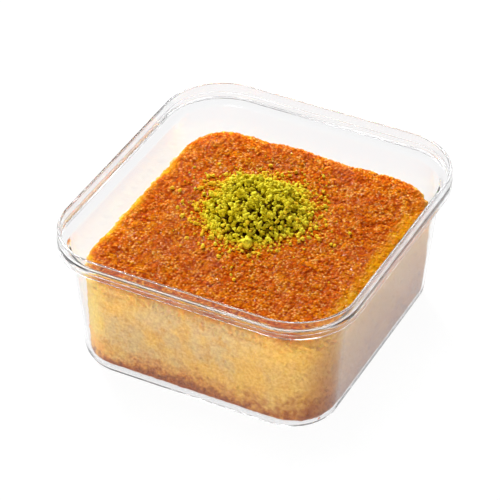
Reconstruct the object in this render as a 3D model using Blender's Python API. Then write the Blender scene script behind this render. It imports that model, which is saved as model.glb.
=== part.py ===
"""A slab of basbousa with ground pistachio on top, in its clear plastic tub.

Metres, +Z up. The origin is the middle of the tub's flat base. X runs across the tub, and Y runs
along its slightly longer side.
"""

import math
import random

import bmesh
import bpy
from mathutils import Euler, Vector, noise

MM = 0.001
GAP = 0.3 * MM  # left between pieces that lie on each other
NEARLY_ZERO = 0.001
GOLDEN_ANGLE = math.pi * (3 - math.sqrt(5))  # spreads things evenly round a middle

# Tub: half widths are along X, and every section is longer by EXTRA_Y on each side along Y
TUB_HEIGHT = 46.3 * MM
EXTRA_Y = 3.05 * MM
WALL = 0.9 * MM
FLOOR = 1.1 * MM
SKIRT_HALF = 48.0 * MM
BAND_HALF = 47.75 * MM
WALL_TOP_HALF = 44.66 * MM
WALL_FOOT_HALF = 41.55 * MM
CORNER_CENTRE_TOP = 28.0 * MM
CORNER_CENTRE_FOOT = 26.0 * MM
BASE_ROUNDING = 4.8 * MM
RIM_ROUNDING = 0.3 * MM
SKIRT_TOP_DROP = 3.65 * MM
SKIRT_FOOT_DROP = 6.0 * MM
SHOULDER_DROP = 4.5 * MM
STEP_WIDTH = 1.2 * MM
STEP_DROP = 0.7 * MM
STEP_FOOT_RISE = 0.8 * MM
ARC_STEPS = 7

# Slab of basbousa: it leans and sits a little off the tub's middle
SLAB_TOP_HALF = (41.3 * MM, 44.2 * MM)
SLAB_FOOT_HALF = (39.2 * MM, 41.8 * MM)
SLAB_TOP_OFFSET = Vector((0.3 * MM, 0.8 * MM, 0))
SLAB_FOOT_OFFSET = Vector((0.1 * MM, 0.3 * MM, 0))
SLAB_CORNER = 15.0 * MM
SLAB_FOOT = FLOOR + GAP
SLAB_TOP = 33.3 * MM
TOP_ROUNDING = 3.0 * MM
FOOT_ROUNDING = 2.5 * MM
SLAB_COLUMNS = 28
SLAB_ROWS = 8
CRAG_SIZE = 3.6 * MM
CRAG_HEIGHT = 1.0 * MM
SWELL_SIZE = 15.0 * MM
SWELL_HEIGHT = 0.8 * MM
SWELL_SHIFT = Vector((7, 3, 1))
SIDE_CRAG_SHARE = 0.5

# Heap of ground pistachio
HEAP_CENTRE = Vector((-3.5 * MM, 8.8 * MM, 0))
HEAP_RADIUS = 17.5 * MM
HEAP_HEIGHT = 6.4 * MM
HEAP_EDGE = 0.5 * MM
HEAP_LOBES = ((0.05, 3, 0.6), (0.04, 5, 2.1))  # share of the radius, lobes round the heap, angle
CORE_REACH = 0.93
CORE_BUMPS = 9
CORE_BUMP_HEIGHT = 0.9 * MM
CORE_THINNEST = 0.4 * MM
SEAT_RADIUS = 19.6 * MM
SEAT_BLEND = 3.0 * MM
LARGE_CRUMBS = 120
LARGE_CRUMB_RADIUS = (0.7 * MM, 1.1 * MM)
LARGE_CRUMB_REACH = 0.91
FRONT_CRUMB_RADIUS = 1.35 * MM
FRONT_CRUMB_WAY = Vector((0.23, -0.92, 0)).normalized()
FRONT_CRUMB_REACH = 0.88
STANDING_OUT = 0.25  # share of its radius by which a crumb's middle lies over the core
RESTING = 1.3  # radii from the seat up to the middle of a crumb that rests on it
STRAY_CRUMBS = 30
STRAY_CRUMB_RADIUS = (0.5 * MM, 0.8 * MM)
STRAY_START = 1.2 * MM
STRAY_REACH = 9.0 * MM
STRAY_RISE = 0.4
CRUMB_STRETCH = (0.85, 1.2)
CRUMB_FLATNESS = (0.8, 1.0)
CRUMB_ROUGHNESS = (0.86, 1.1)


def clear_scene():
    for thing in list(bpy.data.objects):
        bpy.data.objects.remove(thing)


def material(name, colour, roughness, alpha=1.0, transmission=0.0):
    made = bpy.data.materials.new(name)
    made.use_nodes = True
    shader = made.node_tree.nodes["Principled BSDF"]
    shader.inputs["Base Color"].default_value = (*colour, 1)
    shader.inputs["Roughness"].default_value = roughness
    shader.inputs["Metallic"].default_value = 0
    shader.inputs["Alpha"].default_value = alpha
    shader.inputs["Transmission Weight"].default_value = transmission
    return made


def add_object(name, bm, collection, finish=None):
    mesh = bpy.data.meshes.new(name)
    bmesh.ops.recalc_face_normals(bm, faces=bm.faces)
    bm.to_mesh(mesh)
    bm.free()
    made = bpy.data.objects.new(name, mesh)
    collection.objects.link(made)
    if finish:
        mesh.materials.append(finish)
    return made


def between(low, high, share):
    return low + (high - low) * share


# Tub


def tub_section(half_x, z, corner_centre):
    """A rounded rectangle at height z, whose corners are centred at corner_centre from the middle in X."""
    radius = half_x - corner_centre
    points = []
    for side_x, side_y, start in ((1, 1, 0), (-1, 1, 90), (-1, -1, 180), (1, -1, 270)):
        for step in range(ARC_STEPS + 1):
            angle = math.radians(start + 90 * step / ARC_STEPS)
            x = side_x * corner_centre + radius * math.cos(angle)
            y = side_y * (corner_centre + EXTRA_Y) + radius * math.sin(angle)
            points.append(Vector((x, y, z)))
    return points


def base_curve(half_x, base_z, rounding, steps=3):
    """The quarter round from the flat base up to the wall, as (half width, height) points."""
    points = []
    for step in range(steps + 1):
        angle = math.radians(90 * step / steps)
        across = half_x - rounding + rounding * math.sin(angle)
        points.append((across, base_z + rounding * (1 - math.cos(angle))))
    return points


def tub_profile():
    """(half width, height) round the tub's cut edge: up the outside, over the rim, down the inside."""
    rim = TUB_HEIGHT
    skirt_foot = rim - SKIRT_FOOT_DROP
    skirt_top = rim - SKIRT_TOP_DROP
    shoulder = rim - SHOULDER_DROP
    skirt_inside = SKIRT_HALF - WALL
    band_inside = BAND_HALF - WALL
    outside = base_curve(WALL_FOOT_HALF, 0, BASE_ROUNDING)
    outside += [
        (WALL_TOP_HALF, skirt_foot),
        (skirt_inside, shoulder),
        (skirt_inside, skirt_foot),
        (SKIRT_HALF, skirt_foot),
        (SKIRT_HALF, skirt_top),
        (BAND_HALF, skirt_top + RIM_ROUNDING),
        (BAND_HALF, rim - RIM_ROUNDING),
        (BAND_HALF - RIM_ROUNDING, rim),
    ]
    inside = [
        (band_inside + RIM_ROUNDING, rim),
        (band_inside, rim - RIM_ROUNDING),
        (band_inside, skirt_top + RIM_ROUNDING),
        (band_inside - STEP_WIDTH, skirt_top - STEP_DROP),
        (WALL_TOP_HALF - WALL, skirt_foot + STEP_FOOT_RISE),
    ]
    inner_curve = base_curve(WALL_FOOT_HALF - WALL, FLOOR, BASE_ROUNDING - WALL)
    return outside + inside + inner_curve[::-1]


def make_tub(collection):
    """The tub is one moulding: a loft through its sections, closed under the base and over the floor."""
    wall_height = TUB_HEIGHT - SKIRT_FOOT_DROP
    bm = bmesh.new()
    rings = []
    for half_x, z in tub_profile():
        centre = between(CORNER_CENTRE_FOOT, CORNER_CENTRE_TOP, min(z / wall_height, 1))
        rings.append([bm.verts.new(point) for point in tub_section(half_x, z, centre)])
    for lower, upper in zip(rings, rings[1:]):
        for index in range(len(lower)):
            follow = (index + 1) % len(lower)
            bm.faces.new((lower[index], lower[follow], upper[follow], upper[index]))
    bm.faces.new(rings[0])
    bm.faces.new(rings[-1])
    clear_plastic = material("clear_plastic", (0.93, 0.94, 0.95), 0.06, 0.3, 0.9)
    return add_object("tub", bm, collection, clear_plastic)


# Slab of basbousa


def slab_outline(side, along, half_x, half_y):
    """A point on the slab's outline: along runs from 0 to 1 on each side, between two corners' middles."""
    half_run = (half_x, half_y)[side % 2] - SLAB_CORNER
    depth = (half_y, half_x)[side % 2]
    distance = (2 * along - 1) * (half_run + SLAB_CORNER * math.pi / 4)
    angle = max(abs(distance) - half_run, 0) / SLAB_CORNER
    x = math.copysign(min(abs(distance), half_run) + SLAB_CORNER * math.sin(angle), distance)
    y = SLAB_CORNER * (1 - math.cos(angle)) - depth
    return (Vector((x, y, 0)), Vector((-y, x, 0)), Vector((-x, -y, 0)), Vector((y, -x, 0)))[side]


def slab_levels():
    """(height over the slab's foot, inset of the outline) for each row of points up the side."""
    height = SLAB_TOP - SLAB_FOOT
    bevel = TOP_ROUNDING * (1 - math.cos(math.pi / 4))
    plain = SLAB_ROWS - 2
    levels = [(0, FOOT_ROUNDING)]
    for row in range(plain + 1):
        levels.append((between(FOOT_ROUNDING, height - TOP_ROUNDING, row / plain), 0))
    levels.append((height - bevel, bevel))
    return levels


def on_slab(point, levels):
    """Moves a point of a cube, from -1 to 1 each way, to its place on the plain slab."""
    x, y, z = point
    row = round((z + 1) / 2 * (len(levels) - 1))
    rise, inset = levels[row]
    reach = max(abs(x), abs(y))
    if row == len(levels) - 1 and reach < 1 - NEARLY_ZERO:
        rise, inset = SLAB_TOP - SLAB_FOOT, TOP_ROUNDING
        flat_reach = 1 - 2 / SLAB_COLUMNS
    else:
        flat_reach = 1
    share = rise / (SLAB_TOP - SLAB_FOOT)
    half_x, half_y = (between(SLAB_FOOT_HALF[i], SLAB_TOP_HALF[i], share) - inset for i in (0, 1))
    place = Vector((0, 0, 0))
    if reach > NEARLY_ZERO:
        sides = ((-y, x), (x, y), (y, -x), (-x, -y))
        side = max(range(4), key=lambda index: sides[index][0])
        along = (sides[side][1] / reach + 1) / 2
        place = slab_outline(side, along, half_x, half_y) * (reach / flat_reach)
    place += SLAB_FOOT_OFFSET.lerp(SLAB_TOP_OFFSET, share)
    place.z = SLAB_FOOT + rise
    return place


def seat_share(place):
    """0 on the flat seat under the pistachio, and 1 clear of it."""
    distance = (Vector((place.x, place.y, 0)) - HEAP_CENTRE).length
    return min(max((distance - SEAT_RADIUS) / SEAT_BLEND, 0), 1)


def crag(place, facing_up):
    """How far the crumb surface stands out at a place: crags on the crust, lower ones on the sides."""
    rough = noise.noise(place / CRAG_SIZE) * between(SIDE_CRAG_SHARE, 1, facing_up)
    swell = noise.noise(place / SWELL_SIZE + SWELL_SHIFT) * facing_up
    return CRAG_HEIGHT * rough + SWELL_HEIGHT * swell


def make_slab(collection):
    """A cube cut into a grid and drawn out to the slab, with the crust's crags as relief."""
    levels = slab_levels()
    bm = bmesh.new()
    bmesh.ops.create_cube(bm, size=2)
    upright = [e for e in bm.edges if abs(e.verts[0].co.z - e.verts[1].co.z) > 1]
    bmesh.ops.subdivide_edges(bm, edges=upright, cuts=SLAB_ROWS - 1)
    level = [e for e in bm.edges if abs(e.verts[0].co.z - e.verts[1].co.z) < NEARLY_ZERO]
    bmesh.ops.subdivide_edges(bm, edges=level, cuts=SLAB_COLUMNS - 1, use_grid_fill=True)
    under = [f for f in bm.faces if f.calc_center_median().z < NEARLY_ZERO - 1]
    bmesh.ops.dissolve_faces(bm, faces=under, use_verts=False)
    for vert in bm.verts:
        vert.co = on_slab(vert.co, levels)
    bm.normal_update()
    for vert in bm.verts:
        if vert.co.z > SLAB_FOOT + FOOT_ROUNDING / 2:
            stand_out = crag(vert.co, max(vert.normal.z, 0))
            vert.co += vert.normal * stand_out * seat_share(vert.co)
    bmesh.ops.triangulate(bm, faces=bm.faces)
    crust = material("basbousa", (0.80, 0.33, 0.05), 0.42)
    return add_object("basbousa", bm, collection, crust)


# Crumbs


def add_crumb(name, place, radius, draw, collection):
    """One chopped crumb: a rough, uneven ball of few sides."""
    bm = bmesh.new()
    bmesh.ops.create_icosphere(bm, subdivisions=1, radius=radius)
    ranges = (CRUMB_STRETCH, CRUMB_STRETCH, CRUMB_FLATNESS)
    stretch = Vector([draw.uniform(*limits) for limits in ranges])
    turn = Euler([draw.uniform(0, math.tau) for axis in range(3)]).to_matrix()
    for vert in bm.verts:
        vert.co = turn @ (vert.co * stretch * draw.uniform(*CRUMB_ROUGHNESS)) + place
    return add_object(name, bm, collection)


def fuse(target, crumbs):
    """Joins a collection of crumbs to the target with one Boolean union, then removes the crumbs."""
    union = target.modifiers.new("fuse_crumbs", "BOOLEAN")
    union.operation = "UNION"
    union.operand_type = "COLLECTION"
    union.collection = crumbs
    union.solver = "EXACT"
    graph = bpy.context.evaluated_depsgraph_get()
    fused = bpy.data.meshes.new_from_object(target.evaluated_get(graph))
    target.modifiers.clear()
    plain = target.data
    target.data = fused
    bpy.data.meshes.remove(plain)
    fused.name = target.name
    for crumb in list(crumbs.objects):
        bpy.data.objects.remove(crumb)
    bpy.data.collections.remove(crumbs)


def new_collection(name):
    made = bpy.data.collections.new(name)
    bpy.context.scene.collection.children.link(made)
    return made


def scatter_strays(slab):
    """Single crumbs lie on the crust round the heap, thinner further out, and are fused to it."""
    draw = random.Random(13)
    crumbs = new_collection("stray_crumbs")
    for index in range(STRAY_CRUMBS):
        angle = index * GOLDEN_ANGLE
        distance = SEAT_RADIUS + STRAY_START + STRAY_REACH * draw.random() ** 2
        radius = draw.uniform(*STRAY_CRUMB_RADIUS)
        place = HEAP_CENTRE + Vector((math.cos(angle), math.sin(angle), 0)) * distance
        place.z = SLAB_TOP
        stand_out = crag(place, 1) * seat_share(place)
        place.z += stand_out + STRAY_RISE * radius
        add_crumb("stray_crumb", place, radius, draw, crumbs)
    fuse(slab, crumbs)


# Heap of pistachio


def heap_outline(angle):
    """The heap's radius in a direction: it is round, but for a few shallow lobes."""
    lobes = sum(depth * math.sin(count * angle + start) for depth, count, start in HEAP_LOBES)
    return HEAP_RADIUS * (1 + lobes)


def heap_surface(share):
    """The height of the heap's core over its base, at a share of the way out to its edge."""
    return HEAP_EDGE + (HEAP_HEIGHT - HEAP_EDGE) * (1 - share**2)


def make_heap(collection):
    """A low dome with bumps of the crumbs' size is the core, and the largest crumbs are fused on it."""
    base = HEAP_CENTRE + Vector((0, 0, SLAB_TOP + GAP))
    bm = bmesh.new()
    bmesh.ops.create_icosphere(bm, subdivisions=4, radius=1)
    everything = bm.verts[:] + bm.edges[:] + bm.faces[:]
    cut = bmesh.ops.bisect_plane(
        bm, geom=everything, dist=NEARLY_ZERO, plane_co=(0, 0, 0), plane_no=(0, 0, 1), clear_inner=True
    )
    rim = [e for e in cut["geom_cut"] if isinstance(e, bmesh.types.BMEdge)]
    bmesh.ops.contextual_create(bm, geom=rim)
    for vert in bm.verts:
        share = min(math.hypot(vert.co.x, vert.co.y), 1)
        angle = math.atan2(vert.co.y, vert.co.x)
        reach = heap_outline(angle) * CORE_REACH * share
        lift = 0
        if vert.co.z > NEARLY_ZERO:
            bump = noise.noise(vert.co * CORE_BUMPS) * CORE_BUMP_HEIGHT
            lift = max(heap_surface(share) + bump, CORE_THINNEST)
        vert.co = base + Vector((math.cos(angle) * reach, math.sin(angle) * reach, lift))
    nut = material("pistachio", (0.55, 0.50, 0.03), 0.62)
    heap = add_object("pistachio_mound", bm, collection, nut)

    draw = random.Random(5)
    crumbs = new_collection("heap_crumbs")
    for index in range(LARGE_CRUMBS):
        share = math.sqrt((index + 0.5) / LARGE_CRUMBS)
        angle = index * GOLDEN_ANGLE + draw.uniform(-0.1, 0.1)
        radius = draw.uniform(*LARGE_CRUMB_RADIUS)
        reach = heap_outline(angle) * share * LARGE_CRUMB_REACH
        lift = max(heap_surface(share) + STANDING_OUT * radius, RESTING * radius)
        place = base + Vector((math.cos(angle) * reach, math.sin(angle) * reach, lift))
        add_crumb("heap_crumb", place, radius, draw, crumbs)
    place = base + FRONT_CRUMB_WAY * HEAP_RADIUS * FRONT_CRUMB_REACH
    place.z += RESTING * FRONT_CRUMB_RADIUS
    add_crumb("front_crumb", place, FRONT_CRUMB_RADIUS, draw, crumbs)
    fuse(heap, crumbs)
    return heap


clear_scene()
dessert = new_collection("basbousa_in_tub")
make_tub(dessert)
scatter_strays(make_slab(dessert))
make_heap(dessert)
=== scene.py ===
import math

import bmesh
import bpy
import numpy as np
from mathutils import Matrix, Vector, noise


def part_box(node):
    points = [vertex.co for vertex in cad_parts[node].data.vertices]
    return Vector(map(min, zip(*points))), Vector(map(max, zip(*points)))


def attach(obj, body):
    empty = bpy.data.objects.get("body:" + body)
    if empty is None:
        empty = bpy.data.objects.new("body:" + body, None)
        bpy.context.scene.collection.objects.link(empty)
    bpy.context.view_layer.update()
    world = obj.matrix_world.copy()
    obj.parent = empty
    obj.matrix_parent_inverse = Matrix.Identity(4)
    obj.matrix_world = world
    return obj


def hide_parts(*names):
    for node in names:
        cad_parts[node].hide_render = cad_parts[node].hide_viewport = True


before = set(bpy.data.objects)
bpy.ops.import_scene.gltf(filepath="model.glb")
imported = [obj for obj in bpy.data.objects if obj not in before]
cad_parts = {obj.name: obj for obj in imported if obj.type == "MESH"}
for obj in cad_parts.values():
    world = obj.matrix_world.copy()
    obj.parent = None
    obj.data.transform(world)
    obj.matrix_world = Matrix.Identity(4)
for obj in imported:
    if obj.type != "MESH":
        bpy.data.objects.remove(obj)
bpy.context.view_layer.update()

# The tub
# One injection moulding in clear, colourless polystyrene. Its walls taper to a flat base, and near
# the top they step outwards over a short hanging skirt, which is where a lid would snap on.

MM = 0.001
_, tub_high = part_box("tub")
TUB_HEIGHT = tub_high.z
SKIRT_HALF = tub_high.x
EXTRA_Y = tub_high.y - tub_high.x
WALL = 0.9 * MM
FLOOR = 1.1 * MM
BAND_SETBACK = 0.25 * MM
BAND_HALF = SKIRT_HALF - BAND_SETBACK
WALL_TOP_HALF = 44.66 * MM
WALL_FOOT_HALF = 41.55 * MM
CORNER_CENTRE_TOP = 28.0 * MM
CORNER_CENTRE_FOOT = 26.0 * MM
BASE_ROUNDING = 4.8 * MM
BASE_TAPER = 0.1 * MM
BASE_FLAT_INSET = BASE_ROUNDING * 1.6
EDGE_ROUNDING = 0.36 * MM
SKIRT_TOP_DROP = 3.65 * MM
SKIRT_FOOT_DROP = 6.0 * MM
SKIRT_BEVEL = 0.4 * MM
SHOULDER_DROP = 4.5 * MM
SHOULDER_ROUNDING = 0.8 * MM
STEP_ROUNDING = 1.2 * MM
STEP_RISE = 0.8 * MM
LEDGE_RISE = 0.3 * MM
LEDGE_FALL = 1.0 * MM
LEDGE_WIDTH = 1.2 * MM
LEDGE_ROUNDING = 1.0 * MM
TUB_ARC_STEPS = 22
TUB_RUN_STEPS = 8
STRAIGHT_RUN = 10 * MM
MOST_OF_EDGE = 0.49
FLAT_WALL_WEIGHT = 80


def rounded_profile(corners, steps=5):
    """Rounds each (half width, height, rounding) corner of a profile into a short curve."""
    points = []
    for index, (across, up, rounding) in enumerate(corners):
        here = Vector((across, up))
        if rounding == 0 or index in (0, len(corners) - 1):
            points.append(here)
            continue
        before = Vector(corners[index - 1][:2]) - here
        after = Vector(corners[index + 1][:2]) - here
        start = here + before.normalized() * min(rounding, before.length * MOST_OF_EDGE)
        end = here + after.normalized() * min(rounding, after.length * MOST_OF_EDGE)
        for step in range(steps + 1):
            t = step / steps
            points.append(start * (1 - t) ** 2 + here * (2 * t * (1 - t)) + end * t**2)
    return points


def tub_corners():
    """Corners of the tub's wall in section: up the outside, over the rim and down the inside."""
    rim = TUB_HEIGHT
    skirt_foot = rim - SKIRT_FOOT_DROP
    skirt_top = rim - SKIRT_TOP_DROP
    shoulder = rim - SHOULDER_DROP
    skirt_inside = SKIRT_HALF - WALL
    band_inside = BAND_HALF - WALL
    inner_foot = WALL_FOOT_HALF - WALL
    ledge = skirt_top + LEDGE_RISE
    small = EDGE_ROUNDING
    return [
        (WALL_FOOT_HALF - BASE_FLAT_INSET, 0, 0),
        (WALL_FOOT_HALF - BASE_TAPER, 0, BASE_ROUNDING),
        (WALL_TOP_HALF, skirt_foot, STEP_ROUNDING),
        (skirt_inside, shoulder, SHOULDER_ROUNDING),
        (skirt_inside, skirt_foot, small),
        (SKIRT_HALF, skirt_foot, small),
        (SKIRT_HALF, skirt_top, small),
        (BAND_HALF, skirt_top + SKIRT_BEVEL, small),
        (BAND_HALF, rim, small),
        (band_inside, rim, small),
        (band_inside, ledge, LEDGE_ROUNDING),
        (band_inside - LEDGE_WIDTH, ledge - LEDGE_FALL, LEDGE_ROUNDING),
        (WALL_TOP_HALF - WALL, skirt_foot + STEP_RISE, STEP_ROUNDING),
        (inner_foot - BASE_TAPER, FLOOR, BASE_ROUNDING - WALL),
        (inner_foot - BASE_FLAT_INSET, FLOOR, 0),
    ]


def tub_section(half_x, z):
    """The tub cut level at a height: a rounded rectangle, with extra points along its long runs."""
    share = min(z / (TUB_HEIGHT - SKIRT_FOOT_DROP), 1)
    centre = CORNER_CENTRE_FOOT + (CORNER_CENTRE_TOP - CORNER_CENTRE_FOOT) * share
    radius = half_x - centre
    ring = []
    for side_x, side_y, start in ((1, 1, 0), (-1, 1, 90), (-1, -1, 180), (1, -1, 270)):
        middle = Vector((side_x * centre, side_y * (centre + EXTRA_Y), z))
        for step in range(TUB_ARC_STEPS + 1):
            angle = math.radians(start + 90 * step / TUB_ARC_STEPS)
            ring.append(middle + Vector((math.cos(angle), math.sin(angle), 0)) * radius)
    spread = []
    for point, follow in zip(ring, ring[1:] + ring[:1]):
        spread.append(point)
        if (follow - point).length > STRAIGHT_RUN:
            for step in range(1, TUB_RUN_STEPS):
                spread.append(point.lerp(follow, step / TUB_RUN_STEPS))
    return spread


def make_tub():
    """Joins the tub's level sections into one skin and closes the base inside and outside."""
    rings = [tub_section(half_x, z) for half_x, z in rounded_profile(tub_corners())]
    bm = bmesh.new()
    rows = [[bm.verts.new(point) for point in ring] for ring in rings]
    for lower, upper in zip(rows, rows[1:]):
        for index in range(len(lower)):
            follow = (index + 1) % len(lower)
            bm.faces.new((lower[index], lower[follow], upper[follow], upper[index]))
    bm.faces.new(rows[0])
    bm.faces.new(rows[-1])
    bmesh.ops.recalc_face_normals(bm, faces=bm.faces)
    mesh = bpy.data.meshes.new("clear_tub")
    bm.to_mesh(mesh)
    bm.free()
    mesh.shade_smooth()
    made = bpy.data.objects.new("clear_tub", mesh)
    bpy.context.scene.collection.objects.link(made)
    made.modifiers.new("flat_walls", "WEIGHTED_NORMAL").weight = FLAT_WALL_WEIGHT
    return made


def new_finish(name):
    """An empty material: its node tree and its Principled shader."""
    made = bpy.data.materials.new(name)
    made.use_nodes = True
    tree = made.node_tree
    return made, tree, tree.nodes["Principled BSDF"]


def add_node(tree, kind, values=None, **settings):
    """Adds a shader node, with its settings and the values of its sockets by name or number."""
    made = tree.nodes.new(kind)
    for name, value in settings.items():
        setattr(made, name, value)
    for socket, value in (values or {}).items():
        if isinstance(value, bpy.types.NodeSocket):
            tree.links.new(value, made.inputs[socket])
        else:
            made.inputs[socket].default_value = value
    return made


def set_range(tree, value, low, high, start=0, end=1):
    """Maps start to low and end to high, in a straight line."""
    made = add_node(tree, "ShaderNodeMapRange", {"Value": value, 1: start, 2: end, 3: low, 4: high})
    return made.outputs["Result"]


CLEAR = (0.90, 0.90, 0.905, 1)
CLEAR_TO_LAMPS = (0.96, 0.96, 0.96, 1)
CLEAR_BENDING = 1.32
FLOW_MARKS = 45
FLOW_ROUGHNESS = (0.01, 0.03)


def clear_polystyrene():
    """Clear glossy plastic with the faint flow marks of moulding. Lamps shine through it."""
    made, tree, shader = new_finish("clear_polystyrene")
    shader.inputs["Base Color"].default_value = CLEAR
    shader.inputs["Transmission Weight"].default_value = 1
    shader.inputs["IOR"].default_value = CLEAR_BENDING
    place = add_node(tree, "ShaderNodeTexCoord").outputs["Object"]
    flow = add_node(tree, "ShaderNodeTexNoise", {"Vector": place, "Scale": FLOW_MARKS, "Detail": 2})
    haze = set_range(tree, flow.outputs["Fac"], *FLOW_ROUGHNESS)
    tree.links.new(haze, shader.inputs["Roughness"])
    through = add_node(tree, "ShaderNodeBsdfTransparent", {"Color": CLEAR_TO_LAMPS})
    lamp = add_node(tree, "ShaderNodeLightPath").outputs["Is Shadow Ray"]
    both = add_node(tree, "ShaderNodeMixShader", {0: lamp, 1: shader.outputs[0], 2: through.outputs[0]})
    tree.links.new(both.outputs[0], tree.nodes["Material Output"].inputs["Surface"])
    return made


clear_tub = make_tub()
clear_tub.data.materials.append(clear_polystyrene())
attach(clear_tub, "root")
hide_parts("tub")

# The slab of basbousa
# Semolina cake, baked, soaked in syrup and cut to fit the tub it rests in. The oven has browned its
# crust and its foot, and the yellow crumb between them shows at the sides.

cake_low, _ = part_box("basbousa")
SLAB_TOP_HALF = (41.3 * MM, 44.2 * MM)
SLAB_FOOT_HALF = (39.9 * MM, 42.6 * MM)
SLAB_TOP_OFFSET = (0.3 * MM, 0.8 * MM)
SLAB_FOOT_OFFSET = (0.1 * MM, 0.3 * MM)
SLAB_CORNER = 15.0 * MM
SLAB_FOOT_CORNER = 12.5 * MM
SLAB_FOOT = cake_low.z
SLAB_TOP = 33.3 * MM
TOP_ROUNDING = 3.0 * MM
FOOT_ROUNDING = 2.2 * MM
SLAB_COLUMNS = 215
SLAB_ROWS = 76
CRUST_COLUMNS = 288
CRUST_ROWS = 12
CRUST_DEPTH = 4.2 * MM
BODY_LAP = 1.6 * MM
BODY_TUCK = 1.2 * MM
CRUST_TUCK = 1.4 * MM
HEAP_CENTRE = (-3.5 * MM, 8.8 * MM)
SEAT_RADIUS = 19.6 * MM
SEAT_BLEND = 3.0 * MM
CRAG_SIZE = 3.6 * MM
CRAG_HEIGHT = 0.45 * MM
SWELL_SIZE = 15 * MM
SWELL_HEIGHT = 0.8 * MM
PORE_SIZE = 1.4 * MM
PORE_DEPTH = 0.5 * MM
LUMP_SIZE = 2.5 * MM
LUMP_HEIGHT = 0.26 * MM
LUMP_SEED = 3
BEAD_SIZE = 1.15 * MM
BEAD_HEIGHTS = (0.26 * MM, 0.42 * MM)
BEAD_SEED = 17
BEAD_CELLS = 97
BEAD_MARGIN = 0.15
BEAD_RADIUS = 0.72
KNOB_SIZE = 1.3 * MM
KNOB_HEIGHT = 1.3 * MM

# Layers of waves, each with its size, its shift along the noise and its height.
CRUMB_WAVES = ((1.7 * MM, 11.0, 0.22 * MM), (0.85 * MM, 23.0, 0.22 * MM))
BROWNING_WAVES = ((6 * MM, 51.0, 1.6 * MM), (1.7 * MM, 11.0, 0.8 * MM))
FOOT_WAVES = ((12 * MM, 71.0, 3.5 * MM), (2.5 * MM, 81.0, 2.6 * MM), (1.2 * MM, 61.0, 2.6 * MM))
RIM_WAVES = ((5 * MM, 91.0, 2.4 * MM),)


def noise_at(points, size, shift=0.0):
    """Smooth noise at each point, with bumps of the given size."""
    scaled = points / size + shift
    return np.array([noise.noise(Vector(point)) for point in scaled])


def waves_at(points, layers):
    """Adds up layers of smooth noise at each point."""
    return sum(noise_at(points, size, shift) * height for size, shift, height in layers)


def smooth_step(value, low, high):
    """Goes from 0 at low to 1 at high, and flattens out at both."""
    share = np.clip((value - low) / (high - low), 0, 1)
    return share * share * (3 - 2 * share)


def slab_outline(turn, half_x, half_y, corner):
    """Points on the slab's outline. Each whole turn is one side, between two corners' middles."""
    side = np.floor(turn).astype(int) % 4
    run = np.where(side % 2 == 0, half_x, half_y) - corner
    depth = np.where(side % 2 == 0, half_y, half_x)
    distance = (2 * (turn - np.floor(turn)) - 1) * (run + corner * math.pi / 4)
    angle = np.maximum(np.abs(distance) - run, 0) / corner
    x = np.sign(distance) * (np.minimum(np.abs(distance), run) + corner * np.sin(angle))
    y = corner * (1 - np.cos(angle)) - depth
    quarter = side * math.pi / 2
    return x * np.cos(quarter) - y * np.sin(quarter), x * np.sin(quarter) + y * np.cos(quarter)


def slab_ring(turn, rise, inset):
    """Points round the plain slab at a height over its foot, and how far off the middle they lie."""
    share = rise / (SLAB_TOP - SLAB_FOOT)
    half_x, half_y = (
        SLAB_FOOT_HALF[i] + (SLAB_TOP_HALF[i] - SLAB_FOOT_HALF[i]) * share - inset for i in (0, 1)
    )
    corner = SLAB_FOOT_CORNER + (SLAB_CORNER - SLAB_FOOT_CORNER) * share
    x, y = slab_outline(turn, half_x, half_y, corner)
    off_x, off_y = (
        SLAB_FOOT_OFFSET[i] + (SLAB_TOP_OFFSET[i] - SLAB_FOOT_OFFSET[i]) * share for i in (0, 1)
    )
    return x, y, off_x, off_y


def side_rings(columns, rises, tucks):
    """Rings of points round the plain slab, one for each height, tucked in by so much."""
    turn = np.arange(4 * columns) / columns
    height = SLAB_TOP - SLAB_FOOT
    rings = []
    for rise, tuck in zip(rises, tucks):
        above = np.clip((rise - (height - TOP_ROUNDING)) / TOP_ROUNDING, 0, 1)
        below = np.clip((FOOT_ROUNDING - rise) / FOOT_ROUNDING, 0, 1)
        inset = TOP_ROUNDING * (1 - math.sqrt(1 - above**2))
        inset += FOOT_ROUNDING * (1 - math.sqrt(1 - below**2))
        x, y, off_x, off_y = slab_ring(turn, rise, inset + tuck)
        rings.append(np.stack([x + off_x, y + off_y, np.full(4 * columns, SLAB_FOOT + rise)], 1))
    return rings


def top_grid(columns):
    """A grid of points over the slab's top, out to where its edge has turned half way down."""
    column, row = np.meshgrid(np.arange(columns + 1), np.arange(columns + 1), indexing="ij")
    u, v = (2 * column / columns - 1).ravel(), (2 * row / columns - 1).ravel()
    reach = np.maximum(np.abs(u), np.abs(v))
    safe = np.maximum(reach, 1e-9)
    turn = np.select(
        [-v >= reach, u >= reach, v >= reach],
        [(u / safe + 1) / 2, 1 + (v / safe + 1) / 2, 2 + (1 - u / safe) / 2],
        3 + (1 - v / safe) / 2,
    )
    turn = np.minimum(turn, np.floor(turn) + 1 - 1e-9)
    from_edge = (1 - reach) * SLAB_TOP_HALF[0]
    slope = np.clip(1 - from_edge / TOP_ROUNDING, 0, 1) * math.pi / 4
    drop = TOP_ROUNDING * (1 - np.cos(slope))
    brim_inset = TOP_ROUNDING * (1 - math.sin(math.pi / 4))
    x, y, off_x, off_y = slab_ring(turn, SLAB_TOP - SLAB_FOOT, brim_inset)
    return np.stack([x * reach + off_x, y * reach + off_y, SLAB_TOP - drop], 1)


def stacked_faces(loops):
    """Faces between each ring of point numbers and the next."""
    return [
        np.stack([upper, lower, np.roll(lower, -1), np.roll(upper, -1)], -1)
        for upper, lower in zip(loops, loops[1:])
    ]


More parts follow.
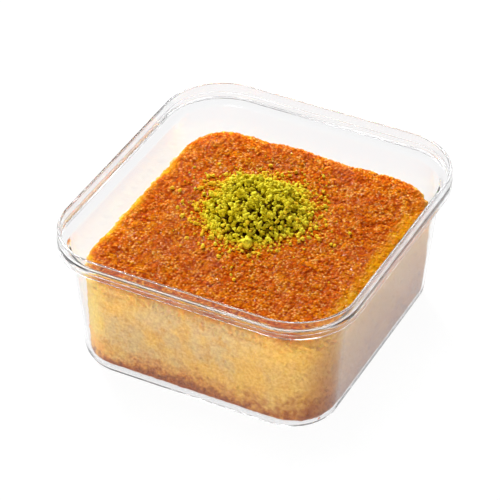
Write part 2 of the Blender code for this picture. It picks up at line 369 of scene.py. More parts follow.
def plain_body():
    """The slab's sides and foot. Its upper end is tucked in under the crust."""
    lap_top = SLAB_TOP - SLAB_FOOT - CRUST_DEPTH + BODY_LAP
    rises = np.linspace(lap_top, 0, SLAB_ROWS + 1)
    tucks = BODY_TUCK * smooth_step(rises, lap_top - 2.0 * MM, lap_top)
    points = np.concatenate(side_rings(SLAB_COLUMNS, rises, tucks))
    around = 4 * SLAB_COLUMNS
    loops = [np.arange(around) + around * row for row in range(len(rises))]
    quads = np.concatenate(stacked_faces(loops)).tolist()
    return points, quads + [loops[0].tolist(), loops[-1][::-1].tolist()]


def plain_crust():
    """The slab's top with its turned edge. Its lower end is tucked in over the body."""
    height = SLAB_TOP - SLAB_FOOT
    brim = TOP_ROUNDING * (1 - math.cos(math.pi / 4))
    rises = height - np.linspace(brim, CRUST_DEPTH, CRUST_ROWS + 1)[1:]
    tucks = CRUST_TUCK * smooth_step(height - rises, CRUST_DEPTH * 0.75, CRUST_DEPTH)
    n = CRUST_COLUMNS
    points = np.concatenate([top_grid(n)] + side_rings(n, rises, tucks))
    index = np.arange((n + 1) ** 2).reshape(n + 1, n + 1)
    top = np.stack([index[:-1, :-1], index[1:, :-1], index[1:, 1:], index[:-1, 1:]], -1).reshape(-1, 4)
    rim = np.concatenate([index[:-1, 0], index[-1, :-1], index[:0:-1, -1], index[0, :0:-1]])
    loops = [rim] + [(n + 1) ** 2 + 4 * n * row + np.arange(4 * n) for row in range(len(rises))]
    quads = np.concatenate([top] + stacked_faces(loops)).tolist()
    return points, quads + [loops[-1][::-1].tolist()]


def new_piece(name, points, faces):
    """A smooth-shaded mesh object, put into the scene."""
    mesh = bpy.data.meshes.new(name)
    mesh.from_pydata(points.tolist(), [], faces)
    mesh.update()
    mesh.shade_smooth()
    made = bpy.data.objects.new(name, mesh)
    bpy.context.scene.collection.objects.link(made)
    return made


def normals_of(mesh):
    """The mesh's smooth normals, one for each point."""
    normals = np.empty(len(mesh.vertices) * 3, np.float32)
    mesh.vertices.foreach_get("normal", normals)
    return normals.reshape(-1, 3).astype(float)


def set_shares(mesh, shares):
    """Stores named values at the mesh's points, which its finish reads."""
    for name, values in shares.items():
        attribute = mesh.attributes.new(name, "FLOAT", "POINT")
        attribute.data.foreach_set("value", np.asarray(values, np.float32))


def edge_distance(points):
    """How far in from the slab's outline each point is, seen from above."""
    x = np.abs(points[:, 0] - SLAB_TOP_OFFSET[0]) - SLAB_TOP_HALF[0] + SLAB_CORNER
    y = np.abs(points[:, 1] - SLAB_TOP_OFFSET[1]) - SLAB_TOP_HALF[1] + SLAB_CORNER
    outside = np.hypot(np.maximum(x, 0), np.maximum(y, 0))
    return SLAB_CORNER - outside - np.minimum(np.maximum(x, y), 0)


def beads(points, size, seed):
    """Swollen grains side by side: each point's height on its grain, and its grain's number."""
    table = np.random.default_rng(seed).random((BEAD_CELLS, BEAD_CELLS, 3))
    place = points[:, :2] / size
    cell = np.floor(place).astype(int)
    nearest = np.full(len(points), np.inf)
    number = np.zeros(len(points))
    for step_x in (-1, 0, 1):
        for step_y in (-1, 0, 1):
            column, row = cell[:, 0] + step_x, cell[:, 1] + step_y
            pick = table[column % BEAD_CELLS, row % BEAD_CELLS]
            centre_x = column + BEAD_MARGIN + (1 - 2 * BEAD_MARGIN) * pick[:, 0]
            centre_y = row + BEAD_MARGIN + (1 - 2 * BEAD_MARGIN) * pick[:, 1]
            gap = np.hypot(place[:, 0] - centre_x, place[:, 1] - centre_y)
            closer = gap < nearest
            nearest = np.where(closer, gap, nearest)
            number = np.where(closer, pick[:, 2], number)
    return np.clip(1 - (nearest / BEAD_RADIUS) ** 2, 0, 1), number


def crag(points, normals):
    """How far the crags and the swell of the slab rise. They fade out under the pistachio."""
    facing_up = np.clip(normals[:, 2], 0, 1)
    away = np.hypot(points[:, 0] - HEAP_CENTRE[0], points[:, 1] - HEAP_CENTRE[1])
    seat = np.clip((away - SEAT_RADIUS) / SEAT_BLEND, 0, 1)
    crags = noise_at(points, CRAG_SIZE) * (0.5 + 0.5 * facing_up) * CRAG_HEIGHT
    swell = noise_at(points, SWELL_SIZE, np.array([7.0, 3.0, 1.0])) * facing_up * SWELL_HEIGHT
    return (crags + swell) * seat


def bake_shares(points, normals):
    """Where the oven browned the cake and the syrup tinted it, and painted shade and light, as shares
    from 0 to 1.
    """
    down = SLAB_TOP - points[:, 2]
    up = points[:, 2] - SLAB_FOOT
    ragged = waves_at(points, BROWNING_WAVES)
    foot_wave = waves_at(points, FOOT_WAVES)
    inward = edge_distance(points) + waves_at(points, RIM_WAVES)
    to_right = smooth_step(points[:, 0] - SLAB_TOP_HALF[0], -12 * MM, -2 * MM)
    behind = smooth_step(points[:, 1], 22 * MM, 38 * MM)
    in_front = smooth_step(-points[:, 1], 34 * MM, 41 * MM)
    high_up = smooth_step(up + ragged, 8 * MM, 28 * MM)
    crust_edge = down + 0.6 * ragged * smooth_step(down, 0, 2 * MM)
    rim = 1 - smooth_step(inward, 0.3 * MM, (4.0 + 5.0 * to_right) * MM)
    return {
        "crust": 1 - smooth_step(crust_edge, 0.3 * MM, 2.0 * MM),
        "foot": 1 - smooth_step(up + foot_wave * 1.3, 3.0 * MM, 13.0 * MM),
        "sole": 1 - smooth_step(up + foot_wave * 0.8, 1.5 * MM, 5.0 * MM),
        "rim": 0.75 * rim * (1 - 0.8 * behind),
        # Painted shade: the right-hand side, turned away from the window, is darkened, less so higher
        # up.
        "painted_shade": smooth_step(normals[:, 0], 0.5, 0.98) * (0.7 - 0.3 * high_up),
        # Painted light: the left end of the front is made paler and yellower, as if lit through the
        # cake's edge.
        "painted_light": smooth_step(-points[:, 0] + ragged, 26 * MM, 37 * MM) * in_front,
        "golden": 0.6 * smooth_step(points[:, 0] + ragged, 6 * MM, 34 * MM),
    }


def move_out(made, points, normals, rise):
    """Moves each point along its normal by its rise."""
    moved = points + normals * rise[:, None]
    made.data.vertices.foreach_set("co", moved.astype(np.float32).ravel())
    made.data.update()


def make_slab():
    """The body of the cake, with clumped grain and open pores over its sides."""
    points, faces = plain_body()
    made = new_piece("basbousa_slab", points, faces)
    normals = normals_of(made.data)
    shares = bake_shares(points, normals)
    pores = smooth_step(noise_at(points, PORE_SIZE, 37.0), 0.30, 0.6)
    above_foot = smooth_step(points[:, 2] - SLAB_FOOT, 0, 1.5 * MM)
    rise = crag(points, normals) + waves_at(points, CRUMB_WAVES) - pores * PORE_DEPTH
    move_out(made, points, normals, rise * above_foot)
    # The relief share also sets where painted crevice shade darkens the crust colour.
    shares["relief"] = np.clip(0.7 - pores, 0, 1)
    shares["tone"] = np.full(len(points), 0.5)
    set_shares(made.data, shares)
    return made


def make_crust():
    """The crust, with swollen grains over its top and a knobbly edge."""
    points, faces = plain_crust()
    made = new_piece("basbousa_crust", points, faces)
    normals = normals_of(made.data)
    shares = bake_shares(points, normals)
    lump, _ = beads(points, LUMP_SIZE, LUMP_SEED)
    bead, number = beads(points, BEAD_SIZE, BEAD_SEED)
    bead_height = BEAD_HEIGHTS[0] + (BEAD_HEIGHTS[1] - BEAD_HEIGHTS[0]) * number
    on_top = smooth_step(normals[:, 2], 0.2, 0.7)
    grains = ((lump - 0.5) * LUMP_HEIGHT + (bead - 0.5) * bead_height) * on_top
    knobs = noise_at(points, KNOB_SIZE, 19.0) * KNOB_HEIGHT * (1 - on_top)
    move_out(made, points, normals, crag(points, normals) + grains + knobs)
    # The relief share also sets where painted crevice shade darkens the crust colour.
    shares["relief"] = np.clip(0.6 * lump + 0.4 * bead, 0, 1)
    shares["tone"] = number
    set_shares(made.data, shares)
    return made


def read_share(tree, name):
    """The value of that name which is stored at the mesh's points."""
    return add_node(tree, "ShaderNodeAttribute", attribute_name=name).outputs["Fac"]


def blend_colours(tree, share, low, high):
    """Mixes two colours, given as colours or as sockets, by a share from 0 to 1."""
    made = add_node(tree, "ShaderNodeMix", data_type="RGBA", clamp_factor=True)
    for socket, value in ((0, share), (6, low), (7, high)):
        if isinstance(value, bpy.types.NodeSocket):
            tree.links.new(value, made.inputs[socket])
        else:
            made.inputs[socket].default_value = value
    return made.outputs[2]


def multiply(tree, first, second):
    """The product of two shares."""
    return add_node(tree, "ShaderNodeMath", {0: first, 1: second}, operation="MULTIPLY").outputs[0]


def spread_share(tree, value, low, high):
    """Maps low to 0 and high to 1, smoothly."""
    made = add_node(tree, "ShaderNodeMapRange", {"Value": value, 1: low, 2: high})
    made.interpolation_type = "SMOOTHSTEP"
    return made.outputs["Result"]


BAKED_DARK = (0.58, 0.105, 0.001, 1)
BAKED_LIGHT = (0.72, 0.210, 0.002, 1)
CREVICE_PAINTED_SHADE = (0.42, 0.050, 0.001, 1)
BAKED_PALE = (0.65, 0.22, 0.004, 1)
GROOVE_PAINTED_SHADE = (0.32, 0.035, 0.001, 1)
GRAIN_PAINTED_HIGHLIGHT = (0.98, 0.52, 0.14, 1)
AMBER_DARK = (0.70, 0.28, 0.002, 1)
AMBER_LIGHT = (0.78, 0.38, 0.004, 1)
CRUMB_PALE = (0.64, 0.43, 0.19, 1)
CRUMB_YELLOW = (0.82, 0.43, 0.045, 1)
CRUMB_SPOTS = (0.60, 0.29, 0.045, 1)
CRUMB_PAINTED_LIGHT = (1.0, 0.72, 0.16, 1)
CRUMB_GOLDEN = (0.92, 0.48, 0.015, 1)
CRUMB_PAINTED_SHADE = (0.46, 0.11, 0.004, 1)
FLECK_DARK = (0.42, 0.18, 0.03, 1)
FLECK_LIGHT = (0.98, 0.72, 0.28, 1)
BROWNED_DARK = (0.32, 0.08, 0.009, 1)
BROWNED_LIGHT = (0.78, 0.34, 0.06, 1)
BROWNED_PAINTED_LIGHT = (0.98, 0.44, 0.06, 1)
BROWNED_GOLDEN = (0.30, 0.05, 0.002, 1)
BURNT_DARK = (0.16, 0.030, 0.006, 1)
BURNT_LIGHT = (0.42, 0.12, 0.022, 1)
SYRUP_FILM = 0.16
SYRUP_BENDING = 1.4
FLECK_SCALE = 1100
PATCH_SCALE = 260
CLOUD_SCALE = 90
GRAIN_SCALE = 1150
GRAIN_HEIGHT = 0.3 * MM
FLECK_HEIGHT = 0.2 * MM
LIGHT_DEPTH = 1.5 * MM


def baked_crust(tree, patches, grains):
    """Red-brown grains with painted shade between them, painted highlights on some, amber at the rim.
    """
    knob = spread_share(tree, grains.outputs["Distance"], 0.60, 0.10)
    lit = spread_share(tree, grains.outputs["Color"], 0.40, 0.75)
    patch = spread_share(tree, patches, 0.38, 0.66)
    baked = blend_colours(tree, patch, BAKED_DARK, BAKED_LIGHT)
    # Painted shade: the low places of the relief, the crevices between lumps, are darkened.
    high = spread_share(tree, read_share(tree, "relief"), 0.15, 0.70)
    baked = blend_colours(tree, high, CREVICE_PAINTED_SHADE, baked)
    pale = spread_share(tree, read_share(tree, "tone"), 0.7, 1.4)
    baked = blend_colours(tree, pale, baked, BAKED_PALE)
    # Painted shade: the grooves between the grains are darkened.
    groove_shade = spread_share(tree, grains.outputs["Distance"], 0.40, 0.85)
    baked = blend_colours(tree, groove_shade, baked, GROOVE_PAINTED_SHADE)
    # Painted highlight: the tops of some grains are made pale, where the syrup would glint.
    crowd = set_range(tree, patches, 0.45, 1.2, 0.35, 0.65)
    painted_glints = multiply(tree, multiply(tree, knob, lit), crowd)
    baked = blend_colours(tree, painted_glints, baked, GRAIN_PAINTED_HIGHLIGHT)
    amber = blend_colours(tree, patch, AMBER_DARK, AMBER_LIGHT)
    return blend_colours(tree, read_share(tree, "rim"), baked, amber), knob


def yellow_crumb(tree, patches, flecks, clouds):
    """Flecked yellow crumb, browned at its foot, burnt along its sole, with painted shade and light."""
    cloud = spread_share(tree, clouds, 0.40, 0.60)
    crumb = blend_colours(tree, cloud, CRUMB_PALE, CRUMB_YELLOW)
    spots = spread_share(tree, patches, 0.30, 0.50)
    crumb = blend_colours(tree, spots, CRUMB_SPOTS, crumb)
    fleck = spread_share(tree, flecks, 0.30, 0.72)
    flecked = blend_colours(tree, fleck, FLECK_DARK, FLECK_LIGHT)
    painted_light = read_share(tree, "painted_light")
    golden = read_share(tree, "golden")
    # Painted light at the left end of the front, on the crumb.
    crumb = blend_colours(tree, painted_light, crumb, CRUMB_PAINTED_LIGHT)
    crumb = blend_colours(tree, golden, crumb, CRUMB_GOLDEN)
    crumb = blend_colours(tree, 0.4, crumb, flecked)
    # Painted shade over the crumb of the right-hand side.
    crumb = blend_colours(tree, read_share(tree, "painted_shade"), crumb, CRUMB_PAINTED_SHADE)
    browned = blend_colours(tree, fleck, BROWNED_DARK, BROWNED_LIGHT)
    # Painted light on the browned foot at the left end of the front.
    browned = blend_colours(tree, painted_light, browned, BROWNED_PAINTED_LIGHT)
    browned = blend_colours(tree, golden, browned, BROWNED_GOLDEN)
    crumb = blend_colours(tree, read_share(tree, "foot"), crumb, browned)
    burnt = blend_colours(tree, fleck, BURNT_DARK, BURNT_LIGHT)
    return blend_colours(tree, read_share(tree, "sole"), crumb, burnt)


def soaked_semolina():
    """Grainy crumb, yellow inside and baked red-brown on the crust, wet with syrup."""
    made, tree, shader = new_finish("soaked_semolina")
    place = add_node(tree, "ShaderNodeTexCoord").outputs["Object"]
    fine = {"Vector": place, "Scale": FLECK_SCALE, "Detail": 5, "Roughness": 0.7}
    flecks = add_node(tree, "ShaderNodeTexNoise", fine).outputs["Fac"]
    broad = {"Vector": place, "Scale": PATCH_SCALE, "Detail": 3}
    patches = add_node(tree, "ShaderNodeTexNoise", broad).outputs["Fac"]
    broadest = {"Vector": place, "Scale": CLOUD_SCALE, "Detail": 2}
    clouds = add_node(tree, "ShaderNodeTexNoise", broadest).outputs["Fac"]
    grains = add_node(tree, "ShaderNodeTexVoronoi", {"Vector": place, "Scale": GRAIN_SCALE})
    baked, knob = baked_crust(tree, patches, grains)
    crumb = yellow_crumb(tree, patches, flecks, clouds)
    crust_share = read_share(tree, "crust")
    colour = blend_colours(tree, crust_share, crumb, baked)
    tree.links.new(colour, shader.inputs["Base Color"])

    tree.links.new(set_range(tree, flecks, 0.22, 0.5), shader.inputs["Roughness"])
    tree.links.new(set_range(tree, crust_share, 0, SYRUP_FILM), shader.inputs["Coat Weight"])
    shader.inputs["Coat Roughness"].default_value = 0.06
    shader.inputs["Coat IOR"].default_value = SYRUP_BENDING
    shader.inputs["IOR"].default_value = 1.33
    shader.inputs["Specular IOR Level"].default_value = 0
    shader.inputs["Subsurface Weight"].default_value = 0.65
    shader.inputs["Subsurface Radius"].default_value = (1.0, 0.35, 0.08)
    shader.inputs["Subsurface Scale"].default_value = LIGHT_DEPTH

    swell_strength = set_range(tree, crust_share, 0.35, 1)
    swell = add_node(tree, "ShaderNodeBump", {"Height": knob, "Strength": swell_strength})
    swell.inputs["Distance"].default_value = GRAIN_HEIGHT
    tree.links.new(swell.outputs["Normal"], shader.inputs["Coat Normal"])
    rough = {"Height": flecks, "Normal": swell.outputs["Normal"], "Strength": 0.5}
    bump = add_node(tree, "ShaderNodeBump", rough)
    bump.inputs["Distance"].default_value = FLECK_HEIGHT
    tree.links.new(bump.outputs["Normal"], shader.inputs["Normal"])
    return made


semolina = soaked_semolina()
slab = make_slab()
crust = make_crust()
for piece in (slab, crust):
    piece.data.materials.append(semolina)
    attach(piece, "root")
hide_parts("basbousa")

# The heap of ground pistachio
# Peeled green pistachio kernels, chopped to crumbs and dropped from a spoon on the warm cake. The
# crumbs lie loose on each other, over a core that stands for those inside and is painted in shade.

heap_low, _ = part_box("pistachio_mound")
HEAP_BASE = heap_low.z
HEAP_RADIUS = 17.5 * MM
HEAP_HEIGHT = 6.4 * MM
HEAP_EDGE = 0.5 * MM
HEAP_LOBES = ((3, 0.6, 0.05), (5, 2.1, 0.04))
HEAP_LEAN = 0.13
LEAN_WAY = 0.15
CORE_REACH = 0.78
CORE_DROP = 2.4 * MM
CORE_SINK = 0.5 * MM
CORE_WAVES = ((1.6 * MM, 0.0, 0.5 * MM), (3.4 * MM, 0.0, 0.8 * MM))
HOLLOW_SIZE = 3.4 * MM
HOLLOW_DEPTH = 1.9 * MM
PRESSED_IN = 0.3 * MM
CRUMB_RADIUS = (0.8 * MM, 1.85 * MM)
CRUMB_SEED = 8
CRUMB_SHAPES = 16
CRUMB_CORE = 0.68
CRUMB_KNOBS = 6
KNOB_SHAPES = 9
KNOB_REACH = (0.45, 0.75)
KNOB_RADIUS = (0.32, 0.52)
FRONT_CRUMB_RADIUS = 2.2 * MM
FRONT_CRUMB_WAY = (0.25, -0.97)
FRONT_CRUMB_LIFT = 1.3 * MM
BIT_RADIUS = (0.3 * MM, 0.6 * MM)
BIT_SEED = 18
BIT_SHAPES = 12
BIT_ROUGHNESS = 0.6
BIT_STRETCH = (0.8, 1.15)
HEAP_BITS = 420

# The upper and the lower layer of crumbs: how many, how far out, how deep and how far apart.
CRUMB_LAYERS = ((170, 1.04, 0.9 * MM, 0.86), (330, 0.95, 2.4 * MM, 0.62))


def ball_shape(subdivisions):
    """A unit ball's points and triangles."""
    bm = bmesh.new()
    bmesh.ops.create_icosphere(bm, subdivisions=subdivisions, radius=1)
    points = np.array([vert.co[:] for vert in bm.verts])
    faces = np.array([[vert.index for vert in face.verts] for face in bm.faces])
    bm.free()
    return points, faces


def random_turns(draw, count):
    """As many turns as asked for, each any way round, as matrices."""
    q = draw.normal(size=(count, 4))
    w, x, y, z = (q / np.linalg.norm(q, axis=1)[:, None]).T
    return np.stack([
        np.stack([1 - 2 * (y * y + z * z), 2 * (x * y - w * z), 2 * (x * z + w * y)], 1),
        np.stack([2 * (x * y + w * z), 1 - 2 * (x * x + z * z), 2 * (y * z - w * x)], 1),
        np.stack([2 * (x * z - w * y), 2 * (y * z + w * x), 1 - 2 * (x * x + y * y)], 1),
    ], 1)


def many_bits(name, shapes, faces, places, sizes, draw):
    """One mesh of many bits, each of them one of the shapes, turned, stretched and put in place."""
    count = len(places)
    pick = draw.integers(len(shapes), size=count)
    stretch = draw.uniform(*BIT_STRETCH, size=(count, 1, 3))
    bits = shapes[pick] * stretch
    bits = np.einsum("nij,nkj->nki", random_turns(draw, count), bits)
    points = bits * sizes[:, None, None] + places[:, None, :]
    per = shapes.shape[1]
    links = faces[None] + (np.arange(count) * per)[:, None, None]
    return new_piece(name, points.reshape(-1, 3), links.reshape(-1, 3).tolist()), per


def points_of(mesh):
    """The places of the mesh's points."""
    points = np.empty(len(mesh.vertices) * 3, np.float32)
    mesh.vertices.foreach_get("co", points)
    return points.reshape(-1, 3).astype(float)


def heap_outline(angle):
    """How far the heap reaches each way: a round with lobes, drawn in on the right."""
    lobes = sum(size * np.sin(count * angle + turn) for count, turn, size in HEAP_LOBES)
    lean = HEAP_LEAN * ((1 + np.cos(angle - LEAN_WAY)) / 2) ** 2
    return HEAP_RADIUS * (1 + lobes - lean)


def heap_lift(share):
    """The height of the heap's surface over its base, at a share of the way out to its edge."""
    return HEAP_EDGE + (HEAP_HEIGHT - HEAP_EDGE) * (1 - np.clip(share, 0, 1) ** 2)


def make_heap_core():
    """A low, uneven dome under the crumbs, sunk a little into the crust and painted in shade."""
    ball, faces = ball_shape(5)
    share = np.minimum(np.hypot(ball[:, 0], ball[:, 1]), 1)
    angle = np.arctan2(ball[:, 1], ball[:, 0])
    reach = heap_outline(angle) * CORE_REACH * share
    dome = heap_lift(share) + waves_at(ball * HEAP_RADIUS, CORE_WAVES) - CORE_DROP
    lift = np.where(ball[:, 2] > 0, np.maximum(dome, 0), -CORE_SINK)
    x = HEAP_CENTRE[0] + np.cos(angle) * reach
    y = HEAP_CENTRE[1] + np.sin(angle) * reach
    made = new_piece("pistachio_core", np.stack([x, y, HEAP_BASE + lift], 1), faces.tolist())
    # Painted shade: the whole core takes the darkest nut colour.
    set_shares(made.data, {"tone": np.full(len(ball), -1.0)})
    return made


def bit_shapes(count, subdivisions):
    """Rough, angular bits: balls pushed in and out by noise."""
    ball, faces = ball_shape(subdivisions)
    shapes = []
    for number in range(count):
        rough = noise_at(ball, 0.9, 13.0 * number) + 0.6 * noise_at(ball, 0.45, 5.0 + 7.0 * number)
        shapes.append(ball * (1 + BIT_ROUGHNESS * rough)[:, None])
    return np.stack(shapes), faces


def cluster_shapes(draw, count):
    """Knobbly crumbs: a rough core with smaller bits of nut standing out of it."""
    cores, core_faces = bit_shapes(count, 2)
    knobs, knob_faces = bit_shapes(KNOB_SHAPES, 1)
    shapes, faces = [], [core_faces]
    for core in cores:
        parts = [core * CRUMB_CORE]
        for _ in range(CRUMB_KNOBS):
            way = draw.normal(size=3)
            way *= draw.uniform(*KNOB_REACH) / np.linalg.norm(way)
            knob = knobs[draw.integers(KNOB_SHAPES)]
            parts.append(knob * draw.uniform(*KNOB_RADIUS) + way)
        shapes.append(np.concatenate(parts))
    start = cores.shape[1]
    for _ in range(CRUMB_KNOBS):
        faces.append(knob_faces + start)
        start += knobs.shape[1]
    return np.stack(shapes), np.concatenate(faces)


def heap_places(draw, count, spread, lifts):
    """Places on the heap's uneven surface, and how far out each lies as a share of the edge."""
    share = np.sqrt(draw.random(count)) * spread
    angle = draw.uniform(0, math.tau, count)
    reach = heap_outline(angle) * share
    flat = np.stack([np.cos(angle) * reach, np.sin(angle) * reach, np.zeros(count)], 1)
    hollows = noise_at(flat, HOLLOW_SIZE, 3.0) * HOLLOW_DEPTH * smooth_step(1 - share, 0, 0.4)
    places = flat + (HEAP_CENTRE[0], HEAP_CENTRE[1], HEAP_BASE)
    places[:, 2] += heap_lift(share) + hollows + draw.uniform(*lifts, count)
    return places, share


def spaced_out(places, sizes, count, closeness):
    """Picks places one by one that keep apart, as crumbs do that lie side by side."""
    kept = []
    for index in range(len(places)):
        gaps = np.linalg.norm(places[kept] - places[index], axis=1)
        if np.all(gaps > (sizes[kept] + sizes[index]) * closeness):
            kept.append(index)
        if len(kept) == count:
            break
    return np.array(kept)


def painted_shade_depth(points):
    """How much painted shade each point gets for lying deep between the crumbs, where less light
    reaches it.
    """
    dx, dy = points[:, 0] - HEAP_CENTRE[0], points[:, 1] - HEAP_CENTRE[1]
    share = np.hypot(dx, dy) / heap_outline(np.arctan2(dy, dx))
    under = HEAP_BASE + heap_lift(share) - points[:, 2]
    return 1.4 * smooth_step(under, 0.9 * MM, 2.6 * MM) * smooth_step(1.1 - share, 0, 0.3)


def make_heap_crumbs():
    """The two layers of crumbs, smaller towards the edge, and a large one at the front."""
    draw = np.random.default_rng(CRUMB_SEED)
    low, high = CRUMB_RADIUS
    layers = []
    for count, spread, depth, closeness in CRUMB_LAYERS:
        places, share = heap_places(draw, count * 12, spread, (-depth, 0.3 * MM - depth))
        sizes = low + (high - low) * draw.random(len(places)) ** 1.5 * (1.05 - 0.6 * share)
        places[:, 2] = np.maximum(places[:, 2], HEAP_BASE + sizes * 0.5 - PRESSED_IN)
        kept = spaced_out(places, sizes, count, closeness)
        layers.append((places[kept], sizes[kept]))
    places, sizes = (np.concatenate(parts) for parts in zip(*layers))
    front_x, front_y = np.array(HEAP_CENTRE) + np.array(FRONT_CRUMB_WAY) * HEAP_RADIUS
    places = np.append(places, [(front_x, front_y, HEAP_BASE + FRONT_CRUMB_LIFT)], 0)
    sizes = np.append(sizes, FRONT_CRUMB_RADIUS)
    shapes, faces = cluster_shapes(draw, CRUMB_SHAPES)
    made, per = many_bits("pistachio_crumbs", shapes, faces, places, sizes, draw)
    tone = np.repeat(draw.random(len(places)), per)
    # Painted shade: the tone is lowered on points deep in the heap, which the finish paints dark.
    set_shares(made.data, {"tone": tone - painted_shade_depth(points_of(made.data))})
    return made


def make_heap_bits():
    """The small bits that lie in the gaps between the crumbs."""
    draw = np.random.default_rng(BIT_SEED)
    places, share = heap_places(draw, HEAP_BITS, 1.03, (-1.2 * MM, 0))
    low, high = BIT_RADIUS
    sizes = low + (high - low) * draw.random(HEAP_BITS) ** 2
    places[:, 2] = np.maximum(places[:, 2], HEAP_BASE + sizes * 0.6 - PRESSED_IN)
    shapes, faces = bit_shapes(BIT_SHAPES, 2)
    made, per = many_bits("pistachio_bits", shapes, faces, places, sizes, draw)
    set_shares(made.data, {"tone": np.repeat(draw.random(HEAP_BITS) + share, per)})
    return made


NUT_GREEN = (0.72, 0.58, 0.004, 1)
NUT_PALE = (0.96, 0.88, 0.05, 1)
NUT_VEIN = (0.60, 0.44, 0.003, 1)
NUT_PAINTED_SHADE = (0.13, 0.05, 0.001, 1)
NUT_GOLDEN = (0.95, 0.58, 0.02, 1)
NUT_SCALE = 900
NUT_HEIGHT = 0.2 * MM


def chopped_pistachio():
    """Dry, matt nut flesh, yellow-green, paler on some crumbs, golden on the smallest, with painted
    shade deep in the heap.
    """
    made, tree, shader = new_finish("chopped_pistachio")
    place = add_node(tree, "ShaderNodeTexCoord").outputs["Object"]
    nut = {"Vector": place, "Scale": NUT_SCALE, "Detail": 3}
    flesh = add_node(tree, "ShaderNodeTexNoise", nut).outputs["Fac"]
    tone = read_share(tree, "tone")
    colour = blend_colours(tree, tone, NUT_GREEN, NUT_PALE)
    vein = spread_share(tree, flesh, 0.3, 0.5)
    colour = blend_colours(tree, vein, NUT_VEIN, colour)
    # Painted shade: a low tone gives the dark colour of the gaps and the core.
    painted_gap_shade = spread_share(tree, tone, -0.9, 0.3)
    colour = blend_colours(tree, painted_gap_shade, NUT_PAINTED_SHADE, colour)
    golden = spread_share(tree, tone, 1.0, 2.0)
    colour = blend_colours(tree, golden, colour, NUT_GOLDEN)
    tree.links.new(colour, shader.inputs["Base Color"])
    shader.inputs["IOR"].default_value = 1.3
    shader.inputs["Specular IOR Level"].default_value = 0.2
    tree.links.new(set_range(tree, flesh, 0.45, 0.8), shader.inputs["Roughness"])
    bump = add_node(tree, "ShaderNodeBump", {"Height": flesh, "Strength": 0.5})
    bump.inputs["Distance"].default_value = NUT_HEIGHT
    tree.links.new(bump.outputs["Normal"], shader.inputs["Normal"])
    return made


heap_core = make_heap_core()
heap_crumbs = make_heap_crumbs()
heap_bits = make_heap_bits()
pistachio = chopped_pistachio()
for piece in (heap_core, heap_crumbs, heap_bits):
    piece.data.materials.append(pistachio)
    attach(piece, "root")
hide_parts("pistachio_mound")

# The stray crumbs
# The finest of the same ground pistachio. It rolled off the heap as it fell from the spoon, and
# sticks to the crust where that is wet with syrup, more of it close to the heap.

STRAY_CRUMBS = 900
STRAY_RADIUS = (0.2 * MM, 0.68 * MM)
STRAY_SEED = 3
STRAY_SHAPES = 8
STRAY_START = -1.5 * MM
STRAY_FADE = 2.6 * MM


def make_strays():
    """Fine crumbs on the crust's own points, fewer of them the further they lie from the heap."""
    draw = np.random.default_rng(STRAY_SEED)
    points = points_of(crust.data)[: (CRUST_COLUMNS + 1) ** 2]
    dx, dy = points[:, 0] - HEAP_CENTRE[0], points[:, 1] - HEAP_CENTRE[1]
    past = np.hypot(dx, dy) - heap_outline(np.arctan2(dy, dx))
    chance = np.where(past > STRAY_START, np.exp(-np.maximum(past, 0) / STRAY_FADE), 0)
    index = draw.choice(len(points), STRAY_CRUMBS, replace=False, p=chance / chance.sum())
    sizes = STRAY_RADIUS[0] + (STRAY_RADIUS[1] - STRAY_RADIUS[0]) * draw.random(STRAY_CRUMBS) ** 2
    places = points[index]
    places[:, 2] += sizes * 0.4
    shapes, faces = bit_shapes(STRAY_SHAPES, 2)
    made, per = many_bits("stray_crumbs", shapes, faces, places, sizes, draw)
    set_shares(made.data, {"tone": np.repeat(1.3 + 0.8 * draw.random(STRAY_CRUMBS), per)})
    return made


strays = make_strays()
strays.data.materials.append(pistachio)
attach(strays, "root")

# The floor, the light and the camera
# A white table that glows a little, in a pale room. The window is behind on the left, crossed
# strips draw lines along the clear rim, and a low panel lights the front, where the camera stands.

TABLE_HALF = 4.0
TABLE_GAP = 0.1 * MM
TABLE_GREY = (0.08, 0.08, 0.08, 1)
TABLE_GLOW = 0.96


def make_floor():
    """A flat table top, just under the tub's base."""
    corners = ((-1, -1), (1, -1), (1, 1), (-1, 1))
    points = np.array([(x * TABLE_HALF, y * TABLE_HALF, -TABLE_GAP) for x, y in corners])
    made = new_piece("floor", points, [[0, 1, 2, 3]])
    finish, _, shader = new_finish("white_table")
    shader.inputs["Base Color"].default_value = TABLE_GREY
    shader.inputs["Roughness"].default_value = 1
    shader.inputs["Specular IOR Level"].default_value = 0
    shader.inputs["Emission Color"].default_value = (1, 1, 1, 1)
    shader.inputs["Emission Strength"].default_value = TABLE_GLOW
    made.data.materials.append(finish)


LAMP_AIM = Vector((0, 0, 20 * MM))


def add_lamp(name, place, size, power):
    """A flat rectangular lamp turned to the cake, sized in metres and with its power in watts."""
    lamp = bpy.data.lights.new(name, "AREA")
    lamp.shape = "RECTANGLE"
    lamp.size, lamp.size_y = size
    lamp.energy = power
    made = bpy.data.objects.new(name, lamp)
    made.location = place
    made.rotation_mode = "QUATERNION"
    made.rotation_quaternion = (LAMP_AIM - Vector(place)).to_track_quat("-Z", "Y")
    bpy.context.scene.collection.objects.link(made)


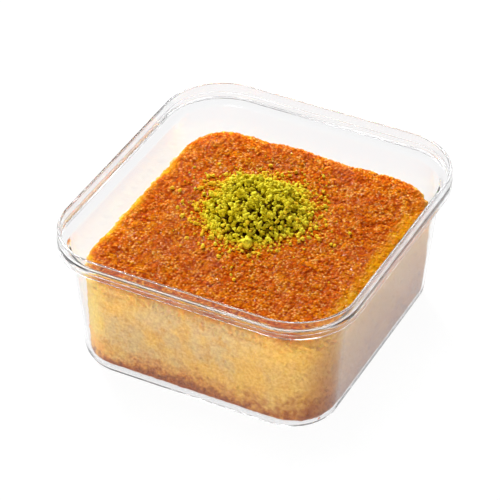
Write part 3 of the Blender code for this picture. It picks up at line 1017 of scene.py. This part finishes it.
make_floor()
add_lamp("window", (-0.75, 0.75, 1.08), (0.30, 0.30), 31)
add_lamp("back_strip", (-0.36, 0.73, 0.62), (0.03, 0.5), 0.5)
add_lamp("side_strip", (-0.36, 0.73, 0.62), (0.5, 0.03), 0.5)
add_lamp("front_panel", (0.05, -0.95, 0.13), (0.7, 0.22), 3.0)

WALL_GREY = (0.42, 0.42, 0.42, 1)
CEILING_GREY = (0.06, 0.06, 0.06, 1)


def studio_room():
    """Pale walls round the table, under a darker ceiling."""
    made = bpy.data.worlds.new("room")
    made.use_nodes = True
    tree = made.node_tree
    way = add_node(tree, "ShaderNodeTexCoord").outputs["Generated"]
    up = add_node(tree, "ShaderNodeSeparateXYZ", {0: way}).outputs["Z"]
    dark = spread_share(tree, up, 0.1, 0.5)
    grey = blend_colours(tree, dark, WALL_GREY, CEILING_GREY)
    tree.links.new(grey, tree.nodes["Background"].inputs["Color"])
    return made


bpy.context.scene.world = studio_room()
bpy.context.scene.view_settings.view_transform = "Standard"
bpy.context.scene.cycles.max_bounces = 40
bpy.context.scene.cycles.glossy_bounces = 36
bpy.context.scene.cycles.transmission_bounces = 36

VIEW_AZIMUTH = math.radians(27.01)
VIEW_ELEVATION = math.radians(37.49)
VIEW_DISTANCE = 825.7 * MM
VIEW_TARGET = Vector((-2.72 * MM, 0.44 * MM, 24.79 * MM))
LENS_LENGTH = 196.7
SENSOR_WIDTH = 36
NEAREST_SEEN = 50 * MM
back = Vector((
    math.sin(VIEW_AZIMUTH) * math.cos(VIEW_ELEVATION),
    -math.cos(VIEW_AZIMUTH) * math.cos(VIEW_ELEVATION),
    math.sin(VIEW_ELEVATION),
))
camera = bpy.data.objects.new("camera", bpy.data.cameras.new("camera"))
camera.data.sensor_width = SENSOR_WIDTH
camera.data.lens = LENS_LENGTH
camera.data.clip_start = NEAREST_SEEN
camera.location = VIEW_TARGET + back * VIEW_DISTANCE
camera.rotation_mode = "QUATERNION"
camera.rotation_quaternion = (-back).to_track_quat("-Z", "Y")
bpy.context.scene.collection.objects.link(camera)
bpy.context.scene.camera = camera
